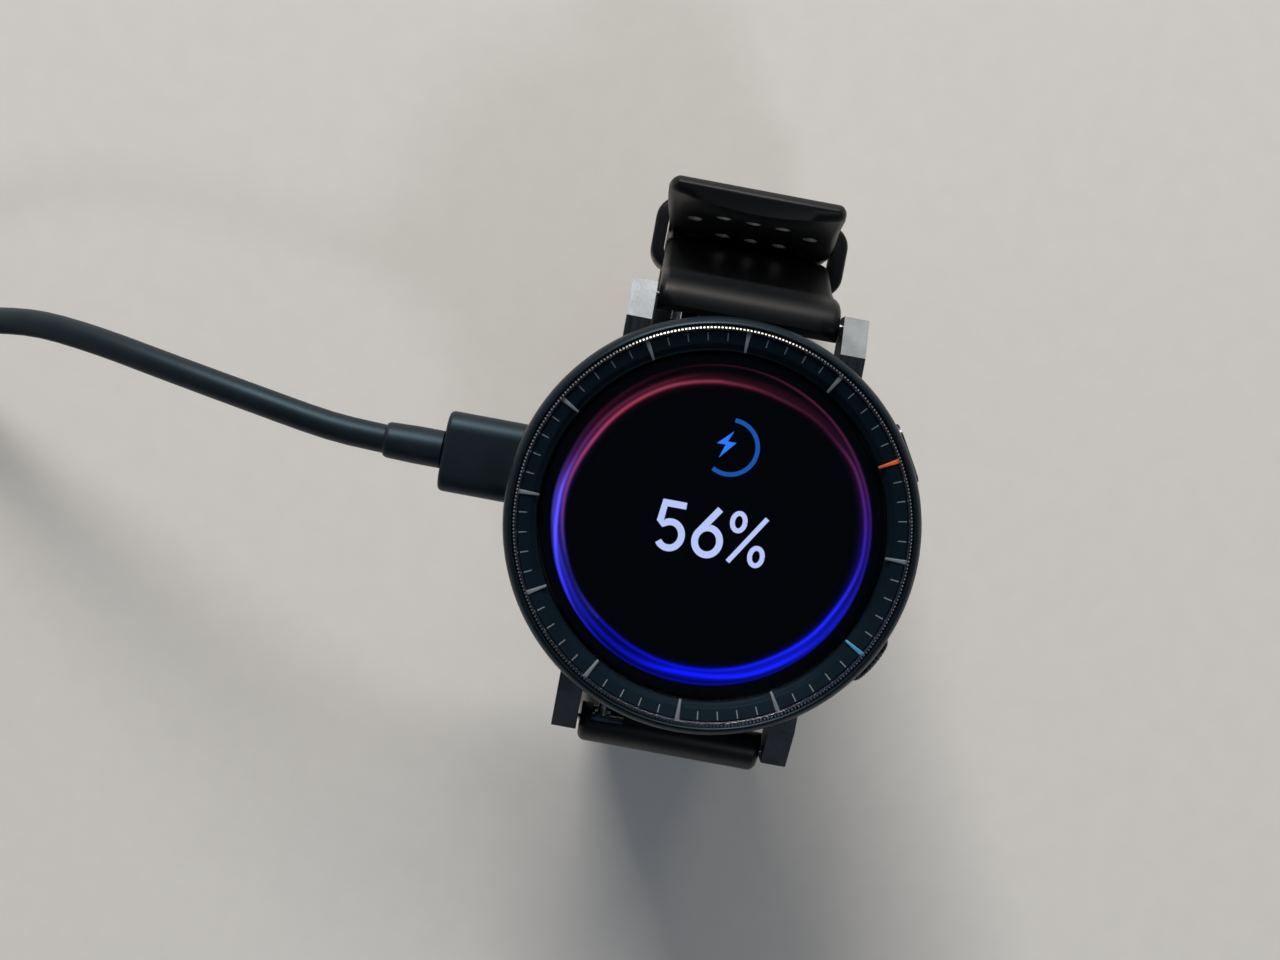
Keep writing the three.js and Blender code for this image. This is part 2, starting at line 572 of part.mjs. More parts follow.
function buildLead(whole) {
  const near = group(whole, MOULD_END, PUCK_Y, DIAL_HEIGHT + PLUG_Z);
  buildPlug(near, 'near_plug');
  place(whole, 'charging_lead', tube(leadRoute, 34), cordPlastic);
  const inner = COIL_R - CORD_R * COIL_COLUMNS;
  const outer = COIL_R + CORD_R * COIL_COLUMNS;
  const tall = CORD_R * 2 * COIL_LAYERS;
  const ring = lathe([[inner, 0], [outer, 0], [outer, tall], [inner, tall]], 40);
  place(whole, 'charging_lead_coil', ring, cordPlastic, COIL_X, COIL_Y, 0);
  const bend = endBend();
  place(whole, 'charging_lead_end', tube(bend, 12), cordPlastic);
  const [x, y, z] = bend.at(-1);
  const far = group(whole, x - GAP - RELIEF_L, y, z, Math.PI);
  buildPlug(far, 'far_plug');
}

function buildWatch() {
  const watch = new THREE.Group();
  const head = group(watch, 0, 0, DIAL_HEIGHT);
  buildShell(head);
  buildInside(head);
  buildBack(head);
  buildControls(head);
  buildSpringBar(head, '12', 1);
  buildSpringBar(head, '6', -1);
  buildPuck(head);
  buildStrap(watch);
  return watch;
}

const part = new THREE.Group();
const watch = buildWatch();
part.add(watch);

// The origin is under the middle of the watch, on the table, and the lead is left out of that middle.
const middle = new THREE.Box3().setFromObject(watch).getCenter(new THREE.Vector3());
buildLead(part);
part.position.set(-middle.x, -middle.y, 0);

export default part;
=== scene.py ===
# A GPS running watch on its charging puck: what the CAD frame looks like.
# Metres, +Z up. Lengths below are in millimetres from the middle of the bezel's top, which is HEAD.

import math

import bmesh
import bpy
from mathutils import Euler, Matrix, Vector


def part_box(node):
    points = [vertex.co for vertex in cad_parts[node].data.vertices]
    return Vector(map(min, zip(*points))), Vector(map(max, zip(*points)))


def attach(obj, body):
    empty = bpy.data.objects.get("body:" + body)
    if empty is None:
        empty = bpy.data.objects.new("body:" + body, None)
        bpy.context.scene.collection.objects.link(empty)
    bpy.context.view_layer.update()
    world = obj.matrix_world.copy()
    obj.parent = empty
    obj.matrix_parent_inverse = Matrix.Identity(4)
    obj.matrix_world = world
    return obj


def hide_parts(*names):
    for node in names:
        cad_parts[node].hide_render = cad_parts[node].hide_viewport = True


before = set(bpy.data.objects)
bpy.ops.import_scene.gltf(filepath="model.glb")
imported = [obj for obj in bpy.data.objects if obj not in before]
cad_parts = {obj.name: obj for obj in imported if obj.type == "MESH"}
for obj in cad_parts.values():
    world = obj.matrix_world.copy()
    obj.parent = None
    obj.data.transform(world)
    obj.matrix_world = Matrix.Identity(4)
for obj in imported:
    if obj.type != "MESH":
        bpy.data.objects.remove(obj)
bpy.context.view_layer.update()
MM = 0.001


def axis_point():
    low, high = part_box("bezel")
    return Vector(((low.x + high.x) / 2, (low.y + high.y) / 2, high.z))


HEAD = axis_point()
TABLE = -HEAD.z / MM              # the table's height, from the bezel's top


def at(x, y, z):
    return HEAD + Vector((x, y, z)) * MM


# ---------------------------------------------------------------- camera
LENS = 50
CAMERA_PLACE = (-12.6, 10.4, 198.9)
CAMERA_TURN = (-2.08, -0.66, 10.53)   # degrees


def make_camera():
    data = bpy.data.cameras.new("camera")
    data.lens = LENS
    data.sensor_width = 36
    data.clip_start = 0.01
    camera = bpy.data.objects.new("camera", data)
    camera.location = at(*CAMERA_PLACE)
    camera.rotation_euler = Euler([math.radians(a) for a in CAMERA_TURN])
    bpy.context.scene.collection.objects.link(camera)
    bpy.context.scene.camera = camera


make_camera()

# ---------------------------------------------------------------- materials
DRIFT_SCALE = 260                 # patches of a few millimetres
GRAIN_DEPTH = 0.00004
SCREEN_ROUGHNESS = 0.08
SCREEN_SPECULAR = 0.2


def new_material(name):
    material = bpy.data.materials.new(name)
    material.use_nodes = True
    tree = material.node_tree
    return material, tree, tree.nodes["Principled BSDF"]


def noise(tree, scale, detail, stretch=(1, 1, 1)):
    """Noise in metres of the object's own space, so that it is the same size on every piece."""
    place = tree.nodes.new("ShaderNodeTexCoord")
    mapping = tree.nodes.new("ShaderNodeMapping")
    mapping.inputs["Scale"].default_value = stretch
    texture = tree.nodes.new("ShaderNodeTexNoise")
    texture.inputs["Scale"].default_value = scale
    texture.inputs["Detail"].default_value = detail
    tree.links.new(place.outputs["Object"], mapping.inputs["Vector"])
    tree.links.new(mapping.outputs["Vector"], texture.inputs["Vector"])
    return texture.outputs["Fac"]


def ranged(tree, value, low, high):
    node = tree.nodes.new("ShaderNodeMapRange")
    node.inputs["From Min"].default_value = 0.3
    node.inputs["From Max"].default_value = 0.7
    node.inputs["To Min"].default_value = low
    node.inputs["To Max"].default_value = high
    tree.links.new(value, node.inputs["Value"])
    return node.outputs["Result"]


def blended(tree, value, first, second):
    ramp = tree.nodes.new("ShaderNodeValToRGB")
    ramp.color_ramp.elements[0].position = 0.35
    ramp.color_ramp.elements[1].position = 0.65
    ramp.color_ramp.elements[0].color = (*first, 1)
    ramp.color_ramp.elements[1].color = (*second, 1)
    tree.links.new(value, ramp.inputs["Fac"])
    return ramp.outputs["Color"]


def surface(name, colour, roughness, metallic=0.0, vary=0.15, grain=9000, bump=0.05,
            stretch=(1, 1, 1), sheen=0.0, specular=0.5, tint=(1, 1, 1)):
    """A moulded or metal finish: colour and roughness that drift a little, under a fine grain."""
    material, tree, shader = new_material(name)
    shader.inputs["Metallic"].default_value = metallic
    shader.inputs["Sheen Weight"].default_value = sheen
    shader.inputs["Specular IOR Level"].default_value = specular
    shader.inputs["Specular Tint"].default_value = (*tint, 1)
    drift = noise(tree, DRIFT_SCALE, 4)
    darker = [c * (1 - vary) for c in colour]
    lighter = [c * (1 + vary) for c in colour]
    tree.links.new(blended(tree, drift, darker, lighter), shader.inputs["Base Color"])
    fine = noise(tree, grain, 2, stretch)
    spread = ranged(tree, fine, roughness * 0.85, roughness * 1.15)
    tree.links.new(spread, shader.inputs["Roughness"])
    if bump:
        node = tree.nodes.new("ShaderNodeBump")
        node.inputs["Strength"].default_value = bump
        node.inputs["Distance"].default_value = GRAIN_DEPTH
        tree.links.new(fine, node.inputs["Height"])
        tree.links.new(node.outputs["Normal"], shader.inputs["Normal"])
    return material


def lit(name, attribute):
    """Light from a colour that each point of the mesh holds, over black."""
    material, tree, shader = new_material(name)
    shader.inputs["Base Color"].default_value = (0, 0, 0, 1)
    shader.inputs["Roughness"].default_value = SCREEN_ROUGHNESS
    shader.inputs["Specular IOR Level"].default_value = SCREEN_SPECULAR
    source = tree.nodes.new("ShaderNodeAttribute")
    source.attribute_name = attribute
    tree.links.new(source.outputs["Color"], shader.inputs["Emission Color"])
    shader.inputs["Emission Strength"].default_value = 1.0
    return material


def glass(name):
    material, tree, shader = new_material(name)
    shader.inputs["Base Color"].default_value = (1, 1, 1, 1)
    shader.inputs["Roughness"].default_value = 0.0
    shader.inputs["Transmission Weight"].default_value = 1.0
    shader.inputs["IOR"].default_value = 1.45
    return material


PAINTED_BLUE_REFLECTION = (0.5, 0.78, 1.0)           # painted reflection: a blue tint on the reflections of what is black, in place of bluish light round it
# The bezel, track, plastics and lead take that painted blue reflection as their specular tint.
CASE = surface("gunmetal_case", (0.12, 0.133, 0.15), 0.36, 1.0, grain=5200, bump=0.2,
               stretch=(1, 0.03, 1))
COAT = surface("bezel_coat", (0.004, 0.0078, 0.0125), 0.34, vary=0.08, grain=14000,
               specular=0.24, tint=PAINTED_BLUE_REFLECTION)
TRACK = surface("track_coat", (0.004, 0.0095, 0.016), 0.5, vary=0.08, grain=16000, bump=0.08,
                specular=0.07, tint=PAINTED_BLUE_REFLECTION)
DARK_STEEL = surface("dark_steel", (0.07, 0.075, 0.085), 0.3, 1.0, grain=7000, bump=0.08)
KNURL_STEEL = surface("knurl_steel", (0.62, 0.62, 0.62), 0.18, 1.0, vary=0.06, grain=9000)
STEEL = surface("steel", (0.55, 0.55, 0.56), 0.26, 1.0, vary=0.06, grain=8000)
BRASS = surface("brass", (0.75, 0.55, 0.25), 0.25, 1.0, vary=0.06)
PLASTIC = surface("black_plastic", (0.009, 0.011, 0.014), 0.5, grain=7000, bump=0.15,
                  specular=0.35, tint=PAINTED_BLUE_REFLECTION)
LEAD = surface("lead_plastic", (0.008, 0.011, 0.015), 0.46, grain=12000, bump=0.08,
               specular=0.38, tint=PAINTED_BLUE_REFLECTION)
SILICONE = surface("silicone", (0.0036, 0.0046, 0.0064), 0.42, grain=9000, bump=0.1,
                   sheen=0.02, specular=0.22)
# Painted glint: the walls of the strap's holes are light grey rather than the strap's black, so
# they show as bright spots of light coming through.
PAINTED_HOLE_GLINT = surface("hole_painted_glint", (0.16, 0.165, 0.18), 0.3, grain=9000)
BOARD = surface("board", (0.02, 0.12, 0.05), 0.5)
FOIL = surface("foil", (0.55, 0.57, 0.6), 0.4, 0.8)
RUBBER = surface("seal_rubber", (0.012, 0.012, 0.013), 0.7, specular=0.3)
GREY_MARK = surface("grey_mark", (0.15, 0.175, 0.2), 0.5, vary=0.05, specular=0.3)
ORANGE_MARK = surface("orange_mark", (0.75, 0.13, 0.02), 0.5, vary=0.05, specular=0.3)
BLUE_MARK = surface("blue_mark", (0.06, 0.3, 0.5), 0.5, vary=0.05, specular=0.3)
SCREEN = surface("screen", (0.0003, 0.0004, 0.001), SCREEN_ROUGHNESS, vary=0.05, bump=0.0,
                 specular=SCREEN_SPECULAR)
GLASS = glass("crystal")
LIT = lit("lit_display", "light")

# ---------------------------------------------------------------- mesh helpers
def add(name, vertices, faces, material, body="watch", smooth=35):
    mesh = bpy.data.meshes.new(name)
    mesh.from_pydata([tuple(v) for v in vertices], [], faces)
    repair = bmesh.new()
    repair.from_mesh(mesh)
    bmesh.ops.remove_doubles(repair, verts=repair.verts, dist=2e-6)
    bmesh.ops.recalc_face_normals(repair, faces=repair.faces)
    repair.to_mesh(mesh)
    repair.free()
    mesh.materials.append(material)
    piece = bpy.data.objects.new(name, mesh)
    bpy.context.scene.collection.objects.link(piece)
    soften(piece, smooth)
    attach(piece, body)
    return piece


def soften(piece, degrees=35):
    """Smooth shading across the shallow edges and crisp shading across the sharp ones."""
    mesh = piece.data
    mesh.polygons.foreach_set("use_smooth", [True] * len(mesh.polygons))
    mesh.set_sharp_from_angle(angle=math.radians(degrees))


def bevel(piece, width):
    modifier = piece.modifiers.new("bevel", "BEVEL")
    modifier.width = width * MM
    modifier.segments = 2
    modifier.limit_method = "ANGLE"
    modifier.angle_limit = math.radians(35)
    modifier.harden_normals = False


def lathe(name, profile, material, steps=256, radius=None):
    """A closed outline of (radius, height) pairs, turned about the dial's axis."""
    count = len(profile)
    vertices = []
    for i in range(steps):
        angle = 2 * math.pi * i / steps
        for k, (r, z) in enumerate(profile):
            r = radius(i, k, r) if radius else r
            vertices.append(at(r * math.cos(angle), r * math.sin(angle), z))
    faces = []
    for i in range(steps):
        j = (i + 1) % steps
        for k in range(count):
            m = (k + 1) % count
            faces.append((i * count + k, j * count + k, j * count + m, i * count + m))
    return add(name, vertices, faces, material)


def eased(t):
    t = min(max(t, 0), 1)
    return t * t * (3 - 2 * t)


def through(points, steps):
    """A smooth line through points: Catmull-Rom, with that many steps between one and the next."""
    padded = [points[0] * 2 - points[1], *points, points[-1] * 2 - points[-2]]
    line = []
    for a, b, c, d in zip(padded, padded[1:], padded[2:], padded[3:]):
        for i in range(steps):
            t = i / steps
            line.append(0.5 * (2 * b + (c - a) * t + (2 * a - 5 * b + 4 * c - d) * t * t
                               + (3 * b - a - 3 * c + d) * t ** 3))
    return [*line, points[-1].copy()]


def span(line):
    return sum((b - a).length for a, b in zip(line, line[1:]))


# ---------------------------------------------------------------- charging lead
CORD_D = 3.5
COIL = (-125.5, -22)              # middle of the coil, beside the watch
COIL_RADII = (24.25, 20.75, 17.25, 17.25, 20.75, 24.25)   # turn by turn, in two layers
COIL_START = 100                  # degrees: where the lead meets its coil
LAST_TURN = 230                   # degrees of the last turn before it bends back
END_BEND = 14
PLUG_OVER_COIL = 3.4              # half of the far plug, and the air under it


def coil_line():
    line = []
    step = 12
    low = TABLE + CORD_D / 2
    layers = [low, low, low, low + CORD_D, low + CORD_D, low + CORD_D]
    for turn, radius in enumerate(COIL_RADII):
        last = turn == len(COIL_RADII) - 1
        for sweep in range(0, LAST_TURN + 1 if last else 360, step):
            change = 0 if last else eased((sweep - 300) / 60)
            following = min(turn + 1, len(COIL_RADII) - 1)
            r = radius + (COIL_RADII[following] - radius) * change
            z = layers[turn] + (layers[following] - layers[turn]) * change
            if last:
                z += CORD_D * eased((sweep - 160) / 70)
            angle = math.radians(COIL_START + sweep)
            line.append(at(COIL[0] + r * math.cos(angle), COIL[1] + r * math.sin(angle), z))
    return line


def end_line():
    """Over the coil and round to the far plug, resting on the turns until it rises to the plug."""
    leave = math.radians(COIL_START + LAST_TURN)
    reach = COIL_RADII[-1] - END_BEND
    x = COIL[0] + reach * math.cos(leave)
    y = COIL[1] + reach * math.sin(leave)
    low = TABLE + CORD_D * 2.5
    high = TABLE + CORD_D * 2 + PLUG_OVER_COIL
    line = []
    for i in range(1, 13):
        angle = leave - 2 * math.pi + (math.pi / 2 - leave + 2 * math.pi) * i / 12
        z = low + (high - low) * eased((i - 4) / 7)
        line.append(at(x + END_BEND * math.cos(angle), y + END_BEND * math.sin(angle), z))
    return line


def lead_line():
    """Out of the plug, down to the table past the left of the view, and into the coil."""
    route = [(-39.4, 2.4, 39.1), (-46.9, 2.8, 39.0), (-57.3, 4.4, 38.0), (-68.1, 6.1, 35.4),
             (-78.1, 7.6, 31.6), (-86.8, 8.3, 27.0), (-94.1, 7.8, 22.0), (-102.0, 6.5, 14.8),
             (-110.0, 5.1, 7.2), (-116.0, 4.1, 3.2), (-122.0, 3.1, 1.8)]
    points = [at(x, y, TABLE + z) for x, y, z in route]
    coil = coil_line()
    free = through([*points, coil[0]], 3)
    return [*free[:-1], *coil, *end_line()]


def make_lead():
    line = lead_line()
    data = bpy.data.curves.new("lead", "CURVE")
    data.dimensions = "3D"
    data.bevel_depth = CORD_D / 2 * MM
    data.bevel_resolution = 7
    data.use_fill_caps = True
    spline = data.splines.new("POLY")
    spline.points.add(len(line) - 1)
    for point, place in zip(spline.points, line):
        point.co = (*place, 1)
    spline.use_smooth = True
    lead = bpy.data.objects.new("lead_cord", data)
    lead.data.materials.append(LEAD)
    bpy.context.scene.collection.objects.link(lead)
    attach(lead, "lead")
    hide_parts("charging_lead", "charging_lead_coil", "charging_lead_end")
    return lead, line


lead, lead_route = make_lead()


def ring_loft(name, rings, material, body="watch", smooth=50):
    """Skin over rings of points that follow one another, closed at both ends."""
    count = len(rings[0])
    vertices = [v for ring in rings for v in ring]
    faces = []
    for i in range(len(rings) - 1):
        for k in range(count):
            m = (k + 1) % count
            faces.append((i * count + k, i * count + m, (i + 1) * count + m, (i + 1) * count + k))
    faces.append(tuple(range(count)))
    faces.append(tuple(reversed(range((len(rings) - 1) * count, len(rings) * count))))
    return add(name, vertices, faces, material, body, smooth)


def rounded_ring(width, height, radius, steps=6):
    """Points of a rounded rectangle, round its middle."""
    points = []
    for x, y, start in ((1, 1, 0), (-1, 1, 90), (-1, -1, 180), (1, -1, 270)):
        for i in range(steps + 1):
            angle = math.radians(start + 90 * i / steps)
            points.append((x * (width / 2 - radius) + radius * math.cos(angle),
                           y * (height / 2 - radius) + radius * math.sin(angle)))
    return points


NEAR_PLUG_REACH = 0.6             # how much further the near plug's soft parts come out


def plug_body(label, way):
    """The overmould of a plug: a rounded block with eased ends, along X."""
    node = f"{label}_overmould"
    low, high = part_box(node)
    centre = (low + high) / 2
    length, wide, tall = [(high - low)[k] / MM for k in range(3)]
    reach = NEAR_PLUG_REACH if label == "near_plug" else 0
    rings = []
    for along, inset in ((0, 0.62), (0.08, 0.34), (0.25, 0.12), (0.5, 0.02), (0.8, 0)):
        rings.append((-length / 2 + along, inset))
    rings += [(-x, inset) for x, inset in reversed(rings)]
    rings = [(x - reach if x < 0 else x, inset) for x, inset in rings]
    lofted = []
    for x, inset in rings:
        ring = rounded_ring(wide - 2 * inset, tall - 2 * inset, 2.3 - inset * 0.6)
        lofted.append([centre + Vector((x * way, y, z)) * MM for y, z in ring])
    piece = ring_loft(f"{label}_body", lofted, LEAD, "lead")
    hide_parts(node)
    return piece


def relief(label, way):
    """A short sleeve that thins towards the cord and ends in a rounded lip."""
    node = f"{label}_strain_relief"
    low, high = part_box(node)
    centre = (low + high) / 2
    length = (high.x - low.x) / MM
    outside = [(0, 2.2), (0.06, 2.3), (0.3, 2.3), (length * 0.45, 2.3), (length * 0.9, 2.2),
               (length - 0.45, 2.18), (length - 0.12, 2.02), (length, 1.8)]
    turns = [2 * math.pi * i / 32 for i in range(32)]
    rings = []
    for along, r in outside:
        x = (length / 2 - along) * way - (NEAR_PLUG_REACH if label == "near_plug" else 0)
        circle = [(r * math.cos(a), r * math.sin(a)) for a in turns]
        rings.append([centre + Vector((x, y, z)) * MM for y, z in circle])
    piece = ring_loft(f"{label}_relief", rings, LEAD, "lead")
    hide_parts(node)
    return piece


near_pieces = [plug_body("near_plug", 1), relief("near_plug", 1)]
far_pieces = [plug_body("far_plug", -1), relief("far_plug", -1)]

# ---------------------------------------------------------------- strap
STRAP_W = 21.4
BAR_Y = 25.2
BAR_Z = -9.3
PITCH = 3.1                       # one strap layer to the next
TAIL_MIDDLE = TABLE + 3.2         # middle of the lower layer, on the keeper's wall
SHORT_MIDDLE = TAIL_MIDDLE + PITCH
BACK_Y = 33.4
FRONT_Y = -28.5
SHORT_BEND = 7.0
LONG_BEND = SHORT_BEND + PITCH
STRAIGHT_TOP = TABLE + 24.5
BUCKLE_Y = 2.0                    # the buckle's pin
BUCKLE_Z = TABLE + 7.0
SECTION_STEP = 0.8                # from one section of a strap half to the next
EDGE_STEPS = 6                    # points round each edge of a section
TAIL_ASIDE = -1.1                 # how far the tail's tip leans towards 9 o'clock
TAIL_FACE = 36.6                  # y of the tail where the holes are
HOLE_R = 0.95
HOLE_ROW = 10                     # one row of holes to the next of its kind


def flat(y, z):
    return Vector((0, y, z))


def arc(y, z, radius, start, end, steps):
    angles = [math.radians(start + (end - start) * i / steps) for i in range(steps + 1)]
    return [flat(y + radius * math.cos(a), z + radius * math.sin(a)) for a in angles]


def evenly(line, step):
    """The same line with its points that far apart."""
    total = span(line)
    count = max(2, round(total / step))
    places, index, gone = [], 0, 0.0
    for i in range(count + 1):
        wanted = total * i / count
        while index < len(line) - 2 and gone + (line[index + 1] - line[index]).length < wanted:
            gone += (line[index + 1] - line[index]).length
            index += 1
        piece = line[index + 1] - line[index]
        places.append(line[index] + piece * min(1, (wanted - gone) / piece.length))
    return places


def strap_section(width, inner, outer, crown, edge):
    """Across the strap: flat inside, crowned outside, with rounded edges."""
    middle = width / 2 - edge
    low, high = -inner + edge, outer - edge
    quarter = [math.pi / 2 * i / EDGE_STEPS for i in range(EDGE_STEPS + 1)]
    top = [middle * (1 - i / 6) for i in range(1, 12)]
    return [
        *[(middle + edge * math.sin(a), low - edge * math.cos(a)) for a in quarter],
        *[(middle + edge * math.cos(a), high + edge * math.sin(a)) for a in quarter[1:]],
        *[(x, outer + crown * (1 - (x / middle) ** 2)) for x in top],
        *[(-middle - edge * math.sin(a), high + edge * math.cos(a)) for a in quarter[:-1]],
        *[(-middle - edge * math.cos(a), low - edge * math.sin(a)) for a in quarter],
    ]


def strap(name, line, node, thick, wide=None, crown=None, shift=None):
    """A strap half: the section carried along its middle line, round its two ends."""
    line = evenly(line, SECTION_STEP)
    total = span(line)
    rings = []
    gone = 0.0
    for i, place in enumerate(line):
        before, after = line[max(i - 1, 0)], line[min(i + 1, len(line) - 1)]
        along = (after - before).normalized()
        normal = Vector((0, -along.z, along.y))
        t = thick(gone, total)
        w = wide(gone, total) if wide else STRAP_W
        swell = crown(gone, total) if crown else 0.0
        near = min(gone, total - gone)
        cap = t / 2
        shrink = math.sqrt(max(0.02, 1 - (1 - near / cap) ** 2)) if near < cap else 1
        half = t / 2 * shrink
        edge = min(0.9, half * 0.85)
        section = strap_section(w, half, half, swell * shrink, edge)
        aside = shift(gone, total) if shift else 0.0
        rings.append([at(x + aside, place.y + normal.y * s, place.z + normal.z * s)
                      for x, s in section])
        if i < len(line) - 1:
            gone += (line[i + 1] - place).length
    piece = ring_loft(name, rings, SILICONE)
    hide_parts(node)
    return piece


def drilled(piece, tools):
    """Cuts the tools out of the piece, and leaves one plain mesh."""
    for tool in tools:
        cut = piece.modifiers.new("cut", "BOOLEAN")
        cut.operation = "DIFFERENCE"
        cut.solver = "EXACT"
        cut.object = tool
        cut.material_mode = "TRANSFER"
    bpy.context.view_layer.update()
    graph = bpy.context.evaluated_depsgraph_get()
    mesh = bpy.data.meshes.new_from_object(piece.evaluated_get(graph))
    piece.modifiers.clear()
    piece.data = mesh
    soften(piece, 50)
    for tool in tools:
        bpy.data.objects.remove(tool)


def tool_from(shape, material):
    mesh = bpy.data.meshes.new("tool")
    shape.to_mesh(mesh)
    shape.free()
    mesh.materials.append(material)
    tool = bpy.data.objects.new("tool", mesh)
    bpy.context.scene.collection.objects.link(tool)
    return tool


def rod(places, radius, material=SILICONE):
    """A tool for cutting: straight cylinders from one place to another, joined in one object."""
    shape = bmesh.new()
    for start, end in places:
        turn = (end - start).to_track_quat("Z", "Y").to_matrix().to_4x4()
        turn.translation = (start + end) / 2
        bmesh.ops.create_cone(shape, cap_ends=True, segments=20, radius1=radius * MM,
                              radius2=radius * MM, depth=(end - start).length, matrix=turn)
    return tool_from(shape, material)


def lug_end(gone):
    """Thickness that far along: both halves are thicker where they hold their spring bar."""
    return 4.0 - 1.2 * eased((gone - 3) / 9)


def short_half():
    line = [
        flat(BAR_Y - 1.9, BAR_Z + 0.25),
        flat(BAR_Y, BAR_Z),
        flat(BAR_Y + 1.4, BAR_Z - 2.8),
        flat(29.0, -22),
        flat(BACK_Y - 0.9, STRAIGHT_TOP),
        flat(BACK_Y, STRAIGHT_TOP - 5),
        *arc(BACK_Y - SHORT_BEND, SHORT_MIDDLE + SHORT_BEND, SHORT_BEND, 0, -90, 10),
        flat(8, SHORT_MIDDLE),
        flat(5, SHORT_MIDDLE + 0.1),
        flat(3.2, SHORT_MIDDLE + 0.5),
        flat(BUCKLE_Y, BUCKLE_Z),
        flat(BUCKLE_Y - 2.05, BUCKLE_Z),
    ]
    line = through(line[:6], 6)[:-1] + line[5:]

    def thick(gone, total):
        return lug_end(gone) + 1.3 * eased((gone - total + 4.6) / 2.5)

    return strap("strap_short_piece", line, "strap_short_half", thick)


def long_half():
    bottom = TAIL_MIDDLE + LONG_BEND
    line = [
        flat(-BAR_Y + 1.9, BAR_Z + 0.25),
        flat(-BAR_Y, BAR_Z),
        flat(-BAR_Y - 1.2, BAR_Z - 2.6),
        flat(-27.2, -22),
        flat(FRONT_Y + 0.3, STRAIGHT_TOP + 3),
        flat(FRONT_Y, STRAIGHT_TOP - 1),
        *arc(FRONT_Y + LONG_BEND, bottom, LONG_BEND, 180, 270, 12),
        flat(0, TAIL_MIDDLE),
        *arc(BACK_Y - SHORT_BEND, bottom, LONG_BEND, -90, 0, 12),
        flat(BACK_Y + PITCH, STRAIGHT_TOP - 2.5),
        flat(37.3, -24),
        flat(38.5, -9.6),
    ]
    line = through(line[:6], 6)[:-1] + line[5:-3] + through(line[-3:], 6)

    def thick(gone, total):
        return lug_end(gone) - 0.9 * eased((gone - total + 26) / 24)

    def wide(gone, total):
        rounding = 1 - min(total - gone, 4) / 4
        return STRAP_W * (0.9 + 0.1 * math.sqrt(max(0, 1 - rounding ** 2)))

    def crown(gone, total):
        return 1.1 * eased((gone - total + 12) / 10)

    def shift(gone, total):
        return TAIL_ASIDE * eased((gone - total + 28) / 26)

    return strap("strap_long_piece", line, "strap_long_half", thick, wide, crown, shift)


def perforations():
    """Holes up the tail: rows of three, with two more between them near the edges. Their walls take
    a light grey: a painted glint of light coming through the holes.
    """
    tools = []
    for across, first in (((-3.7, 0, 3.7), -20.0), ((-7.3, 7.3), -23.2)):
        for row in range(2):
            for x in across:
                z = first - row * HOLE_ROW
                y = TAIL_FACE + max(0, z + 33) * 0.08
                aside = TAIL_ASIDE * eased((z + 36) / 26)
                tools.append((at(x + aside, y - 4, z), at(x + aside, y + 4, z)))
    return rod(tools, HOLE_R, PAINTED_HOLE_GLINT)


def block(low, high):
    """A tool for cutting: a box between two corners."""
    shape = bmesh.new()
    bmesh.ops.create_cube(shape, size=1)
    for v in shape.verts:
        v.co = at(*[low[k] if v.co[k] < 0 else high[k] for k in range(3)])
    bmesh.ops.recalc_face_normals(shape, faces=shape.faces)
    return tool_from(shape, SILICONE)


def lever_room(end, top):
    """A bore round the lever's sleeve, and a slot towards the case for its knob."""
    low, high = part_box(f"release_lever_{'12' if end > 0 else '6'}")
    left, right = (low.x - HEAD.x) / MM - 0.3, (high.x - HEAD.x) / MM + 1.6
    near, far = sorted((end * (BAR_Y - 5), end * BAR_Y))
    slot = block((left, near, BAR_Z - 1.2), (right, far, BAR_Z + top))
    return [slot, rod([(at(left, end * BAR_Y, BAR_Z), at(right, end * BAR_Y, BAR_Z))], 1.45)]


def buckle_room():
    """The pin's bore through the short half's end, and the notch that the tang turns in."""
    bore = rod([(at(-14, BUCKLE_Y, BUCKLE_Z), at(14, BUCKLE_Y, BUCKLE_Z))], 1.05)
    return [bore, block((-1.5, BUCKLE_Y - 4, BUCKLE_Z - 3.7), (1.5, BUCKLE_Y + 2.6, BUCKLE_Z + 4))]


def tang_hole():
    return block((-1.5, BUCKLE_Y - 8.6, TAIL_MIDDLE - 3), (1.5, BUCKLE_Y - 3, TAIL_MIDDLE + 3))


def bar_tool(end):
    return rod([(at(-12, end * BAR_Y, BAR_Z), at(12, end * BAR_Y, BAR_Z))], 1.0)


def keeper(name, node, body):
    """A soft loop round both layers; its outline runs across the strap."""
    low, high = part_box(node)
    size = high - low
    centre = (low + high) / 2
    upright = size.z < size.y
    tall = (size.y if upright else size.z) / MM
    deep = (size.z if upright else size.y) / MM
    outer = rounded_ring(size.x / MM, tall, 2.9, 8)
    inner = rounded_ring(size.x / MM - 3.4, tall - 3.0, 1.2, 8)
    rings = []
    for along, inset in ((0, 0.5), (0.15, 0.2), (0.5, 0),
                         (deep - 0.5, 0), (deep - 0.15, 0.2), (deep, 0.5)):
        rings.append([(x * (1 - inset / 13), y * (1 - inset / tall * 1.6), along - deep / 2)
                      for x, y in outer])
    rings.append([(x, y, deep / 2) for x, y in inner])
    rings.append([(x, y, -deep / 2) for x, y in inner])
    count = len(outer)
    place = (lambda x, y, s: centre + Vector((x, y, s)) * MM) if upright else (
        lambda x, y, s: centre + Vector((x, s, y)) * MM)
    vertices = [place(*p) for ring in rings for p in ring]
    faces = []
    for i in range(len(rings)):
        j = (i + 1) % len(rings)
        for k in range(count):
            m = (k + 1) % count
            faces.append((i * count + k, i * count + m, j * count + m, j * count + k))
    piece = add(name, vertices, faces, SILICONE, body, 50)
    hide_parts(node)


drilled(short_half(), [bar_tool(1), *lever_room(1, 0.9), *buckle_room()])
drilled(long_half(), [bar_tool(-1), *lever_room(-1, 2.3), tang_hole(), perforations()])
keeper("keeper_fixed_piece", "strap_keeper_fixed", "watch")
keeper("keeper_sliding_piece", "strap_keeper_sliding", "sliding_keeper")

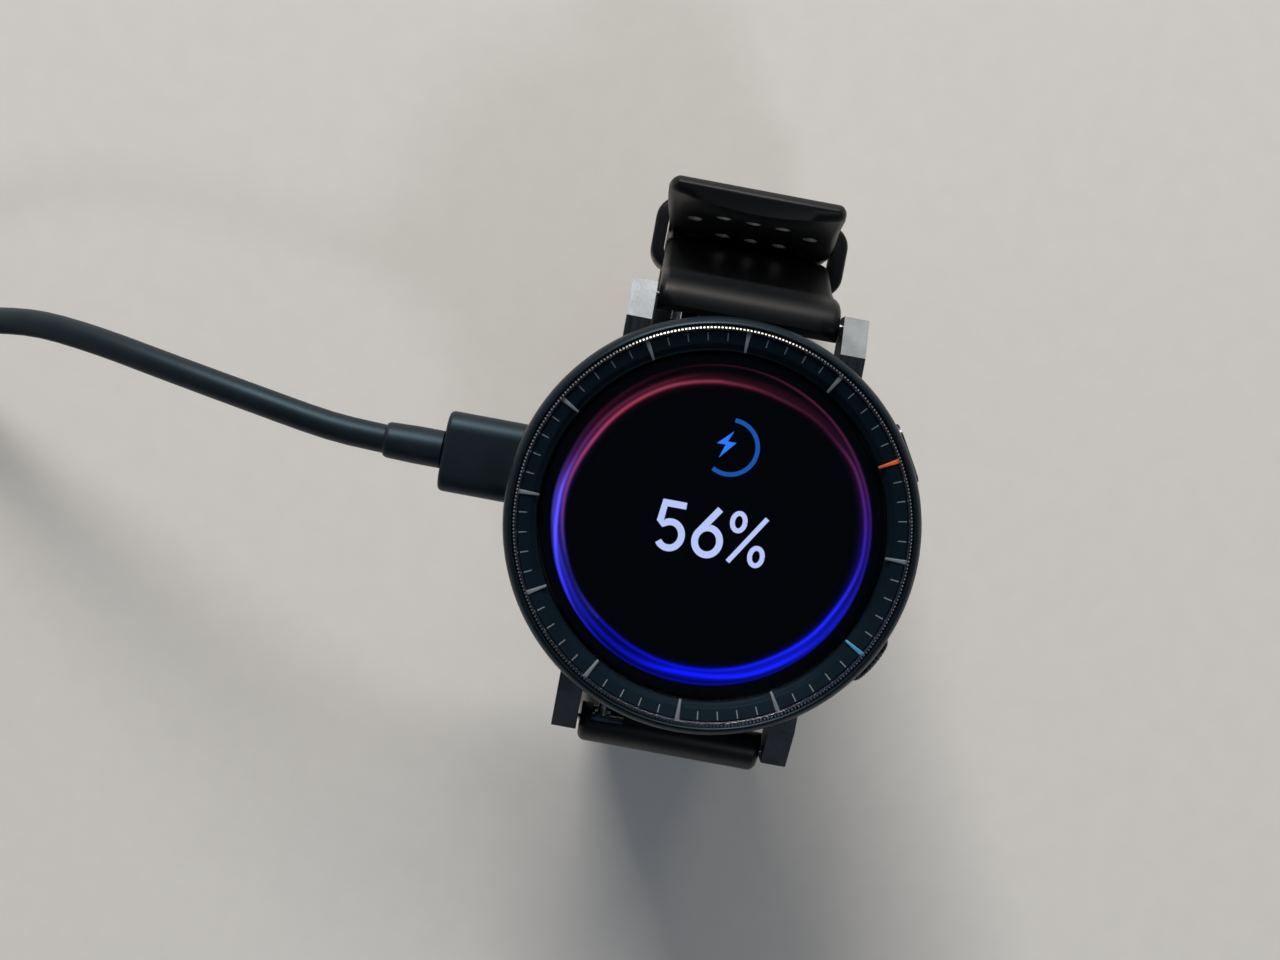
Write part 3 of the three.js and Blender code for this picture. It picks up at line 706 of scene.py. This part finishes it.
# ---------------------------------------------------------------- bezel and dial
def bezel():
    profile = [(19.9, -3.9), (23.0, -4.1), (23.45, -3.9), (23.68, -3.5), (23.7, -3.1),
               (23.7, -1.5), (23.62, -1.05), (23.45, -0.62), (23.15, -0.22), (22.95, -0.06),
               (22.8, -0.02), (22.7, -0.1), (22.66, -0.3), (22.66, -1.3), (19.9, -1.9)]
    piece = lathe("bezel_piece", profile, COAT)
    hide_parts("bezel")


def knurled_ring():
    """A fine coin edge: a narrow groove between one rib and the next, every fourth step."""
    ribs = 344
    profile = [(22.06, -1.05), (22.63, -1.1), (22.63, -0.27), (22.3, -0.05), (22.2, -0.05),
               (22.06, -0.35)]
    grooves = {2: 0.38, 3: 0.08}  # how far the groove goes in, by corner of the outline

    def relieved(i, k, r):
        return r - (grooves.get(k, 0) if i % 4 == 0 else 0)

    piece = lathe("knurled_piece", profile, KNURL_STEEL, steps=ribs * 4, radius=relieved)
    soften(piece, 4)
    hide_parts("bezel_knurled_ring")


TRACK_OUTER = (21.92, -0.52)
TRACK_INNER = (20.6, -0.98)


def track_height(r):
    """The minute track slopes down towards the glass, and then drops to it."""
    (outer, top), (inner, low) = TRACK_OUTER, TRACK_INNER
    return low + (r - inner) / (outer - inner) * (top - low)


def minute_track():
    profile = [(20.05, -1.65), (21.95, -1.2), (22.02, -0.7), (21.98, -0.56), TRACK_OUTER,
               (21.8, -0.56), (20.7, -0.94), TRACK_INNER, (20.5, -1.08), (20.25, -1.48),
               (20.05, -1.58)]
    piece = lathe("track_piece", profile, TRACK)
    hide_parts("minute_track_ring")


def glass_print():
    """The black border printed on the underside of the glass."""
    profile = [(18.46, -3.2), (19.46, -3.2), (19.46, -3.13), (18.46, -3.13)]
    piece = lathe("glass_print", profile, SCREEN)


def tick(name, minute, inner, outer, narrow, wide, height, material):
    """One raised mark on the track: a block that widens outwards, with its edges eased."""
    angle = math.radians(90 - minute * 6)
    out = Vector((math.cos(angle), math.sin(angle), 0))
    side = Vector((-out.y, out.x, 0))
    section = [(-1, -0.5), (-1, 0.7), (-0.75, 1), (0.75, 1), (1, 0.7), (1, -0.5)]
    rings = []
    for r, lift in ((inner, 0.6), (inner + 0.06, 1), (outer - 0.06, 1), (outer, 0.6)):
        half = (narrow + (wide - narrow) * (r - inner) / (outer - inner)) / 2
        base = track_height(max(r, TRACK_INNER[0] - 0.4))
        rings.append([HEAD + (out * r + side * s * half
                              + Vector((0, 0, base + h * lift * height))) * MM
                      for s, h in section])
    piece = ring_loft(name, rings, material)


def ticks():
    for minute in range(60):
        if minute % 5:
            tick(f"tick_{minute}", minute, 20.95, 21.85, 0.12, 0.14, 0.03, GREY_MARK)
            continue
        material = {10: ORANGE_MARK, 20: BLUE_MARK}.get(minute, GREY_MARK)
        tick(f"tick_{minute}", minute, 19.85, 22.05, 0.26, 0.52, 0.14, material)


def painted(name, vertices, faces, colours):
    """A flat piece whose points hold the light that they give."""
    mesh = bpy.data.meshes.new(name)
    mesh.from_pydata([tuple(v) for v in vertices], [], faces)
    attribute = mesh.color_attributes.new("light", "FLOAT_COLOR", "POINT")
    for entry, colour in zip(attribute.data, colours):
        entry.color = (*colour, 1)
    mesh.materials.append(LIT)
    piece = bpy.data.objects.new(name, mesh)
    bpy.context.scene.collection.objects.link(piece)
    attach(piece, "watch")


def mixed(stops, t):
    for (t0, a), (t1, b) in zip(stops, stops[1:]):
        if t <= t1:
            share = (t - t0) / (t1 - t0)
            return [x + (y - x) * share for x, y in zip(a, b)]
    return stops[-1][1]


SCREEN_Z = -3.35
GRAPHIC_Z = SCREEN_Z + 0.01
# colour of the light round the display, by degrees clockwise from 12 o'clock
RING_COLOURS = [(0, (0.21, 0.03, 0.062)), (30, (0.17, 0.025, 0.08)), (60, (0.14, 0.025, 0.16)),
                (90, (0.04, 0.015, 0.5)), (115, (0.012, 0.02, 1.0)), (180, (0.003, 0.008, 1.0)),
                (215, (0.006, 0.01, 0.8)), (240, (0.04, 0.045, 1.0)), (270, (0.12, 0.09, 0.95)),
                (288, (0.22, 0.05, 0.36)), (305, (0.28, 0.04, 0.14)), (335, (0.27, 0.032, 0.062)),
                (360, (0.21, 0.03, 0.062))]
# trails of light: width, degrees its colours run ahead past 220, (degrees, radius, strength)
RING_TRAILS = [
    (0.19, 22, [(0, 16.3, 0.55), (15, 16.3, 0.3), (40, 16.9, 0.15), (60, 17.5, 0.55),
                (90, 17.55, 0.7), (120, 17.0, 1.0), (150, 16.6, 0.8), (180, 16.5, 0.6),
                (210, 16.5, 0.45), (240, 16.9, 0.1), (270, 17.05, 0.6), (300, 16.6, 1.2),
                (330, 16.55, 1.25), (350, 16.4, 0.95), (360, 16.3, 0.55)]),
    (0.2, 0, [(0, 17.3, 0), (190, 18.5, 0), (225, 18.3, 0.6), (240, 18.1, 1.0),
              (270, 17.6, 1.0), (290, 17.3, 0.3), (330, 17.1, 0.2), (350, 17.2, 0),
              (360, 17.3, 0)]),
    (0.25, 0, [(0, 18.3, 0), (95, 18.0, 0.15), (120, 17.9, 0.4), (150, 17.6, 0.9),
               (180, 17.1, 0.8), (200, 17.5, 0.35), (240, 17.5, 0.15), (270, 18.1, 0.3),
               (290, 17.9, 0.1), (360, 18.3, 0)]),
    (0.13, 0, [(0, 18.3, 0.15), (30, 18.15, 0.4), (60, 18.0, 0.35), (90, 18.1, 0.3),
               (150, 18.2, 0.2), (180, 18.1, 0.3), (210, 18.3, 0.2), (240, 17.5, 0.1),
               (330, 18.3, 0), (360, 18.3, 0.15)]),
    (0.6, 0, [(0, 16.6, 0.1), (60, 17.5, 0.1), (100, 17.4, 0.15), (150, 17.2, 0.5),
              (180, 17.1, 0.5), (210, 17.4, 0.15), (260, 17.8, 0.22), (300, 16.9, 0.14),
              (335, 16.7, 0.12), (360, 16.6, 0.1)]),
]


def trail_at(stops, degrees):
    for (d0, r0, s0), (d1, r1, s1) in zip(stops, stops[1:]):
        if degrees <= d1:
            share = eased((degrees - d0) / (d1 - d0))
            return r0 + (r1 - r0) * share, s0 + (s1 - s0) * share
    return stops[-1][1:]


def ring_light(r, degrees):
    light = [0.0, 0.0, 0.0]
    for width, ahead, stops in RING_TRAILS:
        here, strength = trail_at(stops, degrees)
        tint = mixed(RING_COLOURS, min(360, degrees + ahead) if degrees > 220 else degrees)
        share = strength * math.exp(-((r - here) / width) ** 2)
        light = [total + c * share for total, c in zip(light, tint)]
    return light


def light_ring():
    around, across = 540, 44
    inner, outer = 15.2, 18.44
    vertices, colours, faces = [], [], []
    for i in range(around):
        degrees = 360 * i / around
        angle = math.radians(90 - degrees)
        for k in range(across + 1):
            r = inner + (outer - inner) * k / across
            vertices.append(at(r * math.cos(angle), r * math.sin(angle), SCREEN_Z))
            fade = eased(k / 6) * eased((across - k) / 3)
            colours.append([c * fade for c in ring_light(r, degrees)])
    for i in range(around):
        j = (i + 1) % around
        for k in range(across):
            a, b = i * (across + 1) + k, j * (across + 1) + k
            faces.append((a, b, b + 1, a + 1))
    painted("light_ring", vertices, faces, colours)


def ribbon(name, lines, width, colour):
    """Flat strokes with square ends, each along its own line of (x, y) points."""
    vertices, faces = [], []
    for line in lines:
        points = [Vector((x, y)) for x, y in line]
        first = len(vertices)
        for i, p in enumerate(points):
            before, after = points[max(i - 1, 0)], points[min(i + 1, len(points) - 1)]
            along = (after - before).normalized()
            back = (p - before).normalized() if i else along
            side = Vector((-along.y, along.x))
            spread = width / 2 / max(0.5, side.dot(Vector((-back.y, back.x))))
            for s in (-1, 1):
                q = p + side * spread * s
                vertices.append(at(q.x, q.y, GRAPHIC_Z))
        for i in range(len(points) - 1):
            a = first + i * 2
            faces.append((a, a + 2, a + 3, a + 1))
    painted(name, vertices, faces, [colour] * len(vertices))


def bow(x, y, rx, ry, start, end, steps=24):
    """Points on an ellipse, in degrees anticlockwise from +X."""
    angles = [math.radians(start + (end - start) * i / steps) for i in range(steps + 1)]
    return [(x + rx * math.cos(a), y + ry * math.sin(a)) for a in angles]


def screen_graphics():
    pale = (0.5, 0.6, 1.0)
    stroke = 0.78
    top = 2.0
    five = [(-3.2, top - 0.35), (-5.65, top - 0.35), (-5.87, -0.45),
            *bow(-4.55, -1.9, 1.38, 1.5, 130, -145)]
    six_ring = bow(-0.2, -1.85, 1.42, 1.55, 90, 450, 36)
    six_stem = [(0.65, top), (-1.35, -0.95)]
    ribbon("digit_5", [five], stroke, pale)
    ribbon("digit_6", [six_ring, six_stem], stroke, pale)
    rings = [bow(x, y, 0.72, 1.0, 0, 360, 28) for x, y in ((2.95, 0.95), (5.6, -2.6))]
    ribbon("percent", [*rings, [(6.1, 1.9), (2.5, -3.7)]], 0.56, pale)
    ribbon("charge_arc", [bow(0.45, 9.15, 3.1, 3.1, 90, -120, 40)], 0.5, (0.01, 0.09, 0.42))
    bolt = [(0.55, 11.0), (-1.15, 9.35), (-0.15, 9.35), (-0.65, 7.75), (1.05, 9.75),
            (0.05, 9.75)]
    vertices = [at(x, y, GRAPHIC_Z) for x, y in bolt]
    painted("charge_bolt", vertices, [(0, 1, 2, 5), (2, 3, 4, 5)], [(0.03, 0.2, 1.0)] * 6)


bezel()
knurled_ring()
minute_track()
glass_print()
ticks()
light_ring()
screen_graphics()

# ---------------------------------------------------------------- CAD nodes that stay
FINISHES = {
    CASE: ["case_with_lugs"],
    DARK_STEEL: ["crown", "button", "buckle_frame"],
    STEEL: ["crown_stem", "button_stem", "spring_bar_12", "spring_bar_6", "spring_bar_tip_12",
            "spring_bar_tip_6", "release_lever_12", "release_lever_6", "back_screw_1",
            "back_screw_2", "back_screw_3", "back_screw_4", "buckle_tang", "buckle_pin",
            "puck_usb_socket", "near_plug_shell", "far_plug_shell", "vibration_motor",
            "puck_magnet"],
    BRASS: ["antenna_ring", "charge_contact_1", "charge_contact_2", "puck_contact_pin_1",
            "puck_contact_pin_2"],
    GLASS: ["cover_glass"],
    SCREEN: ["display_panel", "optical_sensor_window"],
    PLASTIC: ["inner_frame", "back_cover", "speaker", "crown_encoder", "button_switch",
              "puck_top_shell", "puck_bottom_shell"],
    BOARD: ["main_board", "sensor_board", "puck_board"],
    FOIL: ["battery"],
    RUBBER: ["display_gasket", "back_seal", "crown_seal", "button_seal"],
}
BEVELS = {"case_with_lugs": 0.22, "crown": 0.06, "button": 0.3, "buckle_frame": 0.25,
          "buckle_tang": 0.18, "back_cover": 0.12, "puck_top_shell": 0.2,
          "puck_bottom_shell": 0.3, "release_lever_12": 0.3, "release_lever_6": 0.3,
          "near_plug_shell": 0.15, "far_plug_shell": 0.15, "puck_usb_socket": 0.12}


def finish_nodes():
    for material, names in FINISHES.items():
        for name in names:
            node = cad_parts[name]
            node.data.materials.clear()
            node.data.materials.append(material)
            soften(node)
            if name in BEVELS:
                bevel(node, BEVELS[name])


finish_nodes()

# ---------------------------------------------------------------- room
FLOOR_HALF = 3.0                  # metres
FLOOR_DROP = 0.0002               # metres, so that it does not touch what rests on it
SKY_STRENGTH = 0.62


def floor():
    mesh = bpy.data.meshes.new("floor")
    corners = [(x * FLOOR_HALF, y * FLOOR_HALF, 0) for x, y in ((-1, -1), (1, -1), (1, 1), (-1, 1))]
    mesh.from_pydata(corners, [], [(0, 1, 2, 3)])
    material = surface("pale_floor", (0.82, 0.805, 0.78), 0.95, vary=0.01, grain=300, bump=0.0,
                       specular=0.05)
    mesh.materials.append(material)
    plane = bpy.data.objects.new("floor", mesh)
    plane.location.z = -FLOOR_DROP
    bpy.context.scene.collection.objects.link(plane)


def area_light(name, place, size, power, colour):
    data = bpy.data.lights.new(name, "AREA")
    data.shape = "RECTANGLE"
    data.size, data.size_y = size
    data.energy = power
    data.color = colour
    light = bpy.data.objects.new(name, data)
    light.location = at(*place)
    way = at(0, 0, -20) - light.location
    light.rotation_euler = way.to_track_quat("-Z", "Y").to_euler()
    bpy.context.scene.collection.objects.link(light)


def studio_sky():
    """Soft light from all round, dimmer from 6 o'clock's side and darkest straight above."""
    world = bpy.data.worlds.new("world")
    world.use_nodes = True
    tree = world.node_tree
    place = tree.nodes.new("ShaderNodeTexCoord")
    parts = tree.nodes.new("ShaderNodeSeparateXYZ")
    ramp = tree.nodes.new("ShaderNodeValToRGB")
    ramp.color_ramp.elements[0].position = 0.25
    ramp.color_ramp.elements[0].color = (0.5, 0.53, 0.58, 1)
    ramp.color_ramp.elements[1].position = 0.85
    ramp.color_ramp.elements[1].color = (0.02, 0.032, 0.055, 1)
    front = tree.nodes.new("ShaderNodeMath")
    front.operation = "MULTIPLY"
    front.inputs[1].default_value = -0.5
    only_front = tree.nodes.new("ShaderNodeMath")
    only_front.operation = "MAXIMUM"
    only_front.inputs[1].default_value = 0.0
    both = tree.nodes.new("ShaderNodeMath")
    both.operation = "ADD"
    tree.links.new(place.outputs["Generated"], parts.inputs["Vector"])
    tree.links.new(parts.outputs["Y"], front.inputs[0])
    tree.links.new(front.outputs["Value"], only_front.inputs[0])
    tree.links.new(only_front.outputs["Value"], both.inputs[0])
    tree.links.new(parts.outputs["Z"], both.inputs[1])
    tree.links.new(both.outputs["Value"], ramp.inputs["Fac"])
    tree.links.new(ramp.outputs["Color"], tree.nodes["Background"].inputs["Color"])
    tree.nodes["Background"].inputs["Strength"].default_value = SKY_STRENGTH
    bpy.context.scene.world = world


def lights():
    studio_sky()
    area_light("key", (-400, 1280, 920), (0.6, 0.5), 20.0, (1.0, 0.97, 0.92))
    area_light("fill", (260, -420, 620), (0.12, 0.12), 0.7, (0.9, 0.95, 1.0))
    area_light("window", (-160, 1600, 680), (1.6, 0.68), 10.4, (1.0, 0.9, 0.76))


bpy.context.scene.view_settings.view_transform = "Standard"
floor()
lights()
